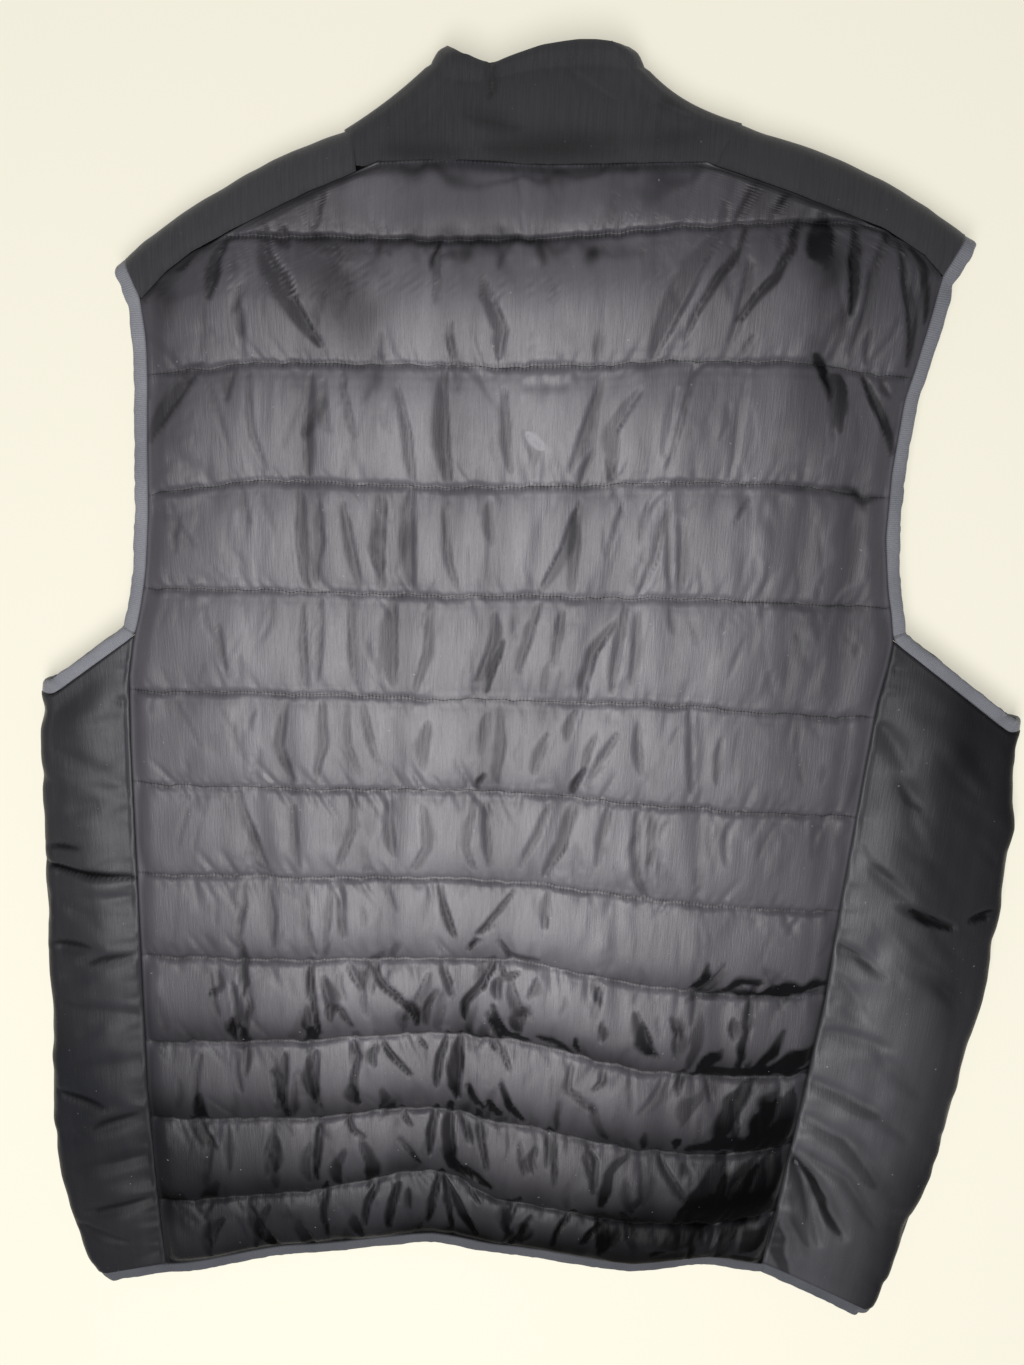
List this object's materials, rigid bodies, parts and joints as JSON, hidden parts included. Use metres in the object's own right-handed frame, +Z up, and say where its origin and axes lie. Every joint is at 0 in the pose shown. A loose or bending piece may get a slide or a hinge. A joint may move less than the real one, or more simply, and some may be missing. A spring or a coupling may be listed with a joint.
{
  "type": "quilted vest laid flat",
  "caption": "Sleeveless quilted puffer vest lying flat, back up, with stand collar, plain yokes and smooth side panels.",
  "frame": {"origin": "centre of the footprint, on the surface the vest lies on", "axes": "+Z up, away from the surface; +Y from hem to collar; +X towards the wearer's right side, which is on the right when the back is seen from above"},
  "size_m": [0.5974, 0.7848, 0.0305],
  "materials": {
    "satin": "grey satin-faced nylon with a slight violet cast, quilted over thin wadding",
    "side_satin": "the same nylon, unquilted, seen darker where it turns down",
    "matte_cloth": "matte dark grey woven cloth",
    "binding": "bluish grey elastic binding with fine ribs",
    "zip_cloth": "dark woven zip tape",
    "zip_metal": "dark enamelled zinc, semi-gloss"
  },
  "bodies": {
    "vest": {"back_panel": "satin", "side_panel_left": "side_satin", "side_panel_right": "side_satin", "front_left": "satin", "front_right": "satin", "shoulder_left": "matte_cloth", "shoulder_right": "matte_cloth", "armhole_binding_left": "binding", "armhole_binding_right": "binding", "collar": "matte_cloth", "hem_binding": "binding", "zip_tape_left": "zip_cloth", "zip_tape_right": "zip_cloth", "zip_slider": "zip_metal"},
    "tab": {"pull_tab": "zip_metal"}
  },
  "joints": [
    {"name": "pull_tab_swing", "type": "hinge", "parent": "vest", "child": "tab", "pos_m": [0, 0.296, 0.0024], "axis": [1, 0, 0], "range_deg": [0, 170]}
  ]
}
